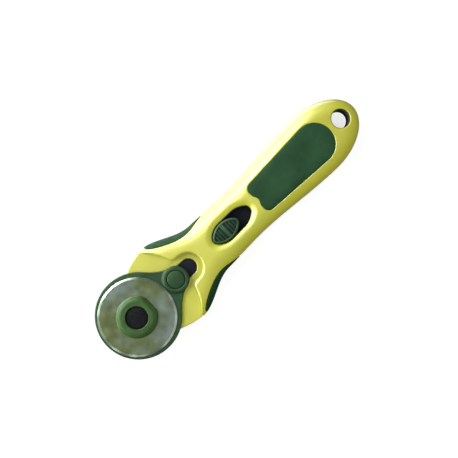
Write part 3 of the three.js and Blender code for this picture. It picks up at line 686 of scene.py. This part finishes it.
def green_plastic(name, dark, light, painted_groove_shade=False):
    """Satin green plastic. With painted groove shade, it is painted darker below the tops of the thumb
    button's ribs: painted shade in the grooves.
    """
    s = Surface(name, IOR=1.5, Specular_IOR_Level=0.2)
    color = s.mottle(s.noise(70, 3, 0.5), dark, light)
    if painted_groove_shade:
        # Painted shade: below the ribs' tops the grooves are coloured a near black green.
        height = s.node("ShaderNodeSeparateXYZ", {0: s.place}).outputs["Z"]
        change_z = PARTING_HEIGHT + BUTTON_TOP - 0.8
        low = s.spread(height, 1, 0, (change_z - 0.1) * MM, (change_z + 0.1) * MM)
        color = s.blend(low, color, (0.003, 0.014, 0.008, 1))
    s.drive("Base Color", color)
    s.drive("Roughness", s.spread(s.noise(260, 4, 0.6), 0.40, 0.54))
    s.drive("Normal", s.bump(s.noise(2600, 3, 0.5), 0.012, 0.6))
    return s.material


def black_plastic():
    s = Surface("black_plastic", IOR=1.45, Specular_IOR_Level=0.12)
    s.drive("Base Color", s.mottle(s.noise(120, 3), (0.004, 0.005, 0.010, 1), (0.009, 0.010, 0.018, 1)))
    s.drive("Roughness", s.spread(s.noise(400, 3, 0.6), 0.42, 0.6))
    s.drive("Normal", s.bump(s.noise(3000, 3, 0.5), 0.015, 0.6))
    return s.material


def blade_steel():
    """Ground steel: faint rings from grinding, a painted reflection as a mottled olive and bluish tint, and a
    painted highlight of uneven brightness on the bevel.
    """
    s = Surface("blade_steel", Metallic=1.0)
    radius = s.axis_distance()
    bevel = s.spread(radius, 0, 1, 0.0212, 0.0214)
    # Painted reflection: the mottled olive and bluish tints of the plate stand in for surroundings reflected
    # in the steel.
    reflection_mottle = s.spread(s.noise(120, 3, 0.5), 0, 1, 0.3, 0.7)
    tint = s.spread(s.noise(30, 2, 0.5), 0, 1, 0.4, 0.6)
    olive_reflection = s.blend(reflection_mottle, (0.38, 0.46, 0.20, 1), (0.52, 0.61, 0.29, 1))
    bluish_reflection = s.blend(reflection_mottle, (0.46, 0.60, 0.50, 1), (0.66, 0.80, 0.70, 1))
    plate = s.blend(tint, olive_reflection, bluish_reflection)
    # Painted highlight: the bevel's colour wanders from dark to pale, standing in for light glinting on it.
    bevel_highlight = s.blend(s.spread(s.noise(55, 2), 0, 1, 0.42, 0.58), (0.14, 0.18, 0.13, 1), (0.76, 0.80, 0.73, 1))
    s.drive("Base Color", s.blend(bevel, plate, bevel_highlight))
    rings = s.node("ShaderNodeTexNoise", {"Scale": 9000.0, "Detail": 2.0}, noise_dimensions="1D")
    s.tree.links.new(radius, rings.inputs["W"])
    rough = s.spread(s.noise(240, 4, 0.6), 0.17, 0.23)
    s.drive("Roughness", s.math("MULTIPLY", rough, s.spread(bevel, 1.0, 1.7, 0, 1)))
    s.drive("Normal", s.bump(rings.outputs["Fac"], 0.004, 0.5))
    return s.material


def metal(name, dark, light, low_roughness, high_roughness, **values):
    """Plain or blackened steel, or brass. values are uniform settings of the shader."""
    s = Surface(name, **values)
    s.drive("Base Color", s.mottle(s.noise(420, 4, 0.6), dark, light))
    s.drive("Roughness", s.spread(s.noise(700, 3, 0.6), low_roughness, high_roughness))
    s.drive("Normal", s.bump(s.noise(5000, 2, 0.5, (1, 1, 0.2)), 0.006, 0.6))
    return s.material


def floor_paper():
    glow = {"Emission_Color": (1, 1, 1, 1), "Emission_Strength": FLOOR_GLOW}
    s = Surface("floor_paper", Specular_IOR_Level=0.0, **glow)
    s.drive("Base Color", s.mottle(s.noise(30, 3), (0.40, 0.40, 0.40, 1), (0.44, 0.44, 0.44, 1)))
    s.drive("Roughness", s.spread(s.noise(80, 3), 0.8, 0.9))
    return s.material


# ---------------------------------------------------------------- pieces

yellow = yellow_plastic()
rubber, ribbed_rubber = soft_rubber("soft_rubber"), soft_rubber("ribbed_rubber", True)
green = green_plastic("green_plastic", (0.008, 0.032, 0.009, 1), (0.015, 0.050, 0.013, 1))
button_green = green_plastic("button_plastic", (0.012, 0.046, 0.018, 1), (0.020, 0.064, 0.024, 1), True)
flange_green = green_plastic("flange_plastic", (0.021, 0.060, 0.010, 1), (0.034, 0.082, 0.015, 1))
black, steel = black_plastic(), blade_steel()
spring_steel = metal("spring_steel", rgb(150, 152, 155), rgb(186, 188, 190), 0.25, 0.4, Metallic=1.0)
black_steel = metal("black_steel", (0.004, 0.004, 0.005, 1), (0.009, 0.009, 0.011, 1), 0.3, 0.42,
                    Metallic=0.0, Specular_IOR_Level=0.1)
brass = metal("brass", rgb(176, 138, 62), rgb(208, 170, 86), 0.25, 0.4, Metallic=1.0)
screw_steel = metal("screw_steel", rgb(120, 124, 130), rgb(158, 162, 168), 0.28, 0.42, Metallic=1.0)


def add(node, body, surface, piece):
    """Gives a piece its material, and lets it stand for a CAD node and ride on that node's body."""
    piece.data.materials.append(surface)
    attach(piece, body)
    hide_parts(node)


add("front_shell", "handle", yellow,
    sculpted("front_shell_piece", front_shell, (27, -25.6, -0.2), (170.4, 25.6, 11), 0.45))
add("back_shell", "handle", yellow,
    sculpted("back_shell_piece", back_shell, (-12.7, -25.6, -11), (170.4, 25.6, 2.4), 0.45))
for node, side, z_range in (("front_pad", 1, (7.7, 11)), ("back_pad", -1, (-11, -7.7))):
    add(node, "handle", rubber,
        sculpted(node + "_piece", lambda x, y, z: pad(x, y, z, side), (93.4, -12, z_range[0]),
                 (151, 12, z_range[1]), 0.35))
for node, side, y_range in (
    ("left_finger_grip", 1, (12.5, 25.6)),
    ("right_finger_grip", -1, (-25.6, -12.5)),
):
    add(node, "handle", ribbed_rubber,
        sculpted(node + "_piece", lambda x, y, z: finger_grip(x, y, z, side), (29.5, y_range[0], -7.5),
                 (64.5, y_range[1], 7.5), 0.3))

add("blade_guard", "guard", green,
    sculpted("blade_guard_piece", blade_guard, (-24, -25, 2.2), (38.6, 25, 6.8), 0.3))
add("slide_link", "guard", black,
    sculpted("slide_link_piece", slide_link, (25.6, -6.6, -1), (92.3, 6.6, 1.4), 0.3))
add("slider_button", "guard", button_green,
    sculpted("slider_button_piece", slider_button, (60, -6, -0.8), (79.4, 6, 9.6), 0.16))
add("guard_pin", "guard", green,
    sculpted("guard_pin_piece", guard_pin, (-5.1, -5.1, -0.8), (5.1, 5.1, 6.8), 0.15, (LUG_X, 0, 0)))

add("blade", "blade", steel, turned("blade_piece", [
    (4.05, 4.8, 0.03), (21.2, 4.8, 0.02), (22.5, 4.68, 0.01), (22.5, 4.62, 0.01), (21.2, 4.5, 0.02),
    (4.05, 4.5, 0.03),
], 192))
add("blade_flange", "handle", flange_green,
    sculpted("blade_flange_piece", blade_flange, (-12, -12, 2.3), (11, 12, 8.6), 0.2))
add("axle_bolt", "handle", black_steel,
    sculpted("axle_bolt_piece", axle_bolt, (-6.3, -6.3, -9), (6.3, 6.3, 7.8), 0.15))
add("wave_washer", "washer", spring_steel, turned("wave_washer_piece", [
    (3.3, -2.75, 0.1), (7.0, -2.75, 0.1), (7.0, -3.15, 0.1), (3.3, -3.15, 0.1),
], 96, lambda turn: 0.3 * math.cos(3 * turn)))
add("nut_knob", "nut", green,
    sculpted("nut_knob_piece", nut_knob, (-9.8, -9.8, -10.9), (9.8, 9.8, -3.5), 0.22))
add("nut_insert", "nut", brass,
    sculpted("nut_insert_piece", nut_insert, (-5.6, -5.6, -9.6), (5.6, 5.6, -3.7), 0.2))

add("detent_spring", "handle", spring_steel,
    sculpted("detent_spring_piece", detent_spring, (80.8, -2.7, -3.1), (109.2, 2.7, -0.9), 0.14))
add("spring_screw", "handle", screw_steel,
    sculpted("spring_screw_piece", spring_screw, (-2.3, -2.3, -6.5), (2.3, 2.3, -1.2), 0.15,
             (SPRING_SCREW_X, 0, 0)))
screw_vertices, screw_faces = contour(screw, (-2.9, -2.9, -1.6), (2.9, 2.9, 10.2), 0.15)
for i, (screw_x, screw_y) in enumerate(SCREW_PLACES, 1):
    screw_place = np.array([screw_x, screw_y, SCREW_SEAT_Z - 0.1])
    add(f"body_screw_{i}", "handle", screw_steel,
        mesh_object(f"body_screw_{i}_piece", screw_vertices + screw_place, screw_faces))

# ---------------------------------------------------------------- studio

AXIS_ANGLE = math.radians(44.37)  # the handle's direction in the picture, from the horizontal
VIEW_CENTRE = Vector((71.6, -0.6, 15.35)) * MM
VIEW_DISTANCE = 0.45
VIEW_WIDTH = 0.2576  # of what the picture takes in at the blade's height
CAMERA_SHIFT = 0.012  # toward +Y, so the view is nearly but not quite straight down
SENSOR_WIDTH = 36
UP = Vector((0, 0, 1))


def look_along(obj, back, up):
    """Turns an object so that its +Z is back and its +Y is close to up."""
    z = Vector(back).normalized()
    x = Vector(up).cross(z).normalized()
    obj.rotation_mode = "QUATERNION"
    obj.rotation_quaternion = Matrix((x, z.cross(x), z)).transposed().to_quaternion()


picture_up = Vector((math.sin(AXIS_ANGLE), math.cos(AXIS_ANGLE), 0))
picture_right = Vector((math.cos(AXIS_ANGLE), -math.sin(AXIS_ANGLE), 0))

camera = bpy.data.objects.new("camera", bpy.data.cameras.new("camera"))
bpy.context.scene.collection.objects.link(camera)
camera.location = VIEW_CENTRE + Vector((0, CAMERA_SHIFT, VIEW_DISTANCE))
look_along(camera, camera.location - VIEW_CENTRE, picture_up)
camera.data.sensor_width = SENSOR_WIDTH
camera.data.lens = SENSOR_WIDTH * VIEW_DISTANCE / VIEW_WIDTH
camera.data.clip_start, camera.data.clip_end = 0.01, 20
bpy.context.scene.camera = camera

LIT_POINT = Vector((0.072, 0, 0.01))
LIGHT_DISTANCE = 0.9
KEY_RADIANCE, KEY_TINT = 5.5, (0.98, 1.0, 0.97)
TOP_RADIANCE = 1.5
CARD_RADIANCE = 7.0
SIDE_RADIANCE = 8.0
WALL_RADIANCE, WALL_TINT = 14.0, (0.93, 1.0, 0.94)
# Brightness against height, from straight down at 0 to straight up at 1
SKY = [(0.001, 0.2), (0.49, 0.2), (0.5, 0.8), (0.53, 0.25), (0.999, 0.24)]


def softbox(name, place, back, size, radiance, tint, for_diffuse=True, for_gloss=True):
    """A rectangular area light whose back points the given way. A radiance of 1 shows as white."""
    lamp = bpy.data.lights.new(name, "AREA")
    lamp.shape = "RECTANGLE"
    lamp.size, lamp.size_y = size
    lamp.energy = radiance * size[0] * size[1] * math.pi
    lamp.color = tint
    box = bpy.data.objects.new(name, lamp)
    bpy.context.scene.collection.objects.link(box)
    box.location = place
    look_along(box, back, UP if abs(Vector(back).normalized().z) < 0.99 else (0, 1, 0))
    box.visible_diffuse, box.visible_glossy = for_diffuse, for_gloss
    box.visible_camera = False


def studio_light(name, toward, *settings, **visible):
    """A softbox that shines on the middle of the cutter from the given direction."""
    back = Vector(toward).normalized()
    softbox(name, LIT_POINT + back * LIGHT_DISTANCE, back, *settings, **visible)


key_side = picture_up * 0.35 - picture_right * 0.94
studio_light("key_light", key_side + UP * 1.15, (0.6, 0.5), KEY_RADIANCE, KEY_TINT)
# These two light surfaces and don't show in reflections. The two after them do the opposite.
studio_light("side_light", key_side + UP * 0.2, (1.2, 0.25), SIDE_RADIANCE, KEY_TINT, for_gloss=False)
studio_light("top_light", UP - key_side * 0.45, (1.2, 1.2), TOP_RADIANCE, KEY_TINT, for_gloss=False)
studio_light("wall_light", key_side + UP * 0.6, (2.0, 0.75), WALL_RADIANCE, WALL_TINT, for_diffuse=False)
softbox("table_card", (0.08, 0.08, 0.001), -UP, (0.24, 0.1), CARD_RADIANCE, WALL_TINT, for_diffuse=False)

world = bpy.data.worlds.new("studio")
world.use_nodes = True
sky = world.node_tree
direction = sky.nodes.new("ShaderNodeTexCoord")
height = sky.nodes.new("ShaderNodeSeparateXYZ")
height_share = sky.nodes.new("ShaderNodeMapRange")
height_share.inputs["From Min"].default_value = -1
ramp = sky.nodes.new("ShaderNodeValToRGB")
sky.links.new(direction.outputs["Generated"], height.inputs[0])
sky.links.new(height.outputs["Z"], height_share.inputs["Value"])
sky.links.new(height_share.outputs[0], ramp.inputs["Fac"])
sky.links.new(ramp.outputs["Color"], sky.nodes["Background"].inputs["Color"])
for place, level in SKY:
    stop = ramp.color_ramp.elements.new(place)
    stop.color = (level * 0.97, level, level, 1)
for spare in (ramp.color_ramp.elements[-1], ramp.color_ramp.elements[0]):
    ramp.color_ramp.elements.remove(spare)
bpy.context.scene.world = world
bpy.context.scene.view_settings.view_transform = "Standard"

FLOOR_REACH = 9000  # mm from the middle to each side
floor_signs = ((-1, -1), (1, -1), (1, 1), (-1, 1))
floor_corners = [(x * FLOOR_REACH, y * FLOOR_REACH, -PARTING_HEIGHT) for x, y in floor_signs]
floor = mesh_object("floor", floor_corners, [(0, 1, 2, 3)])
floor.data.materials.append(floor_paper())
floor.visible_diffuse = False
floor.visible_glossy = False
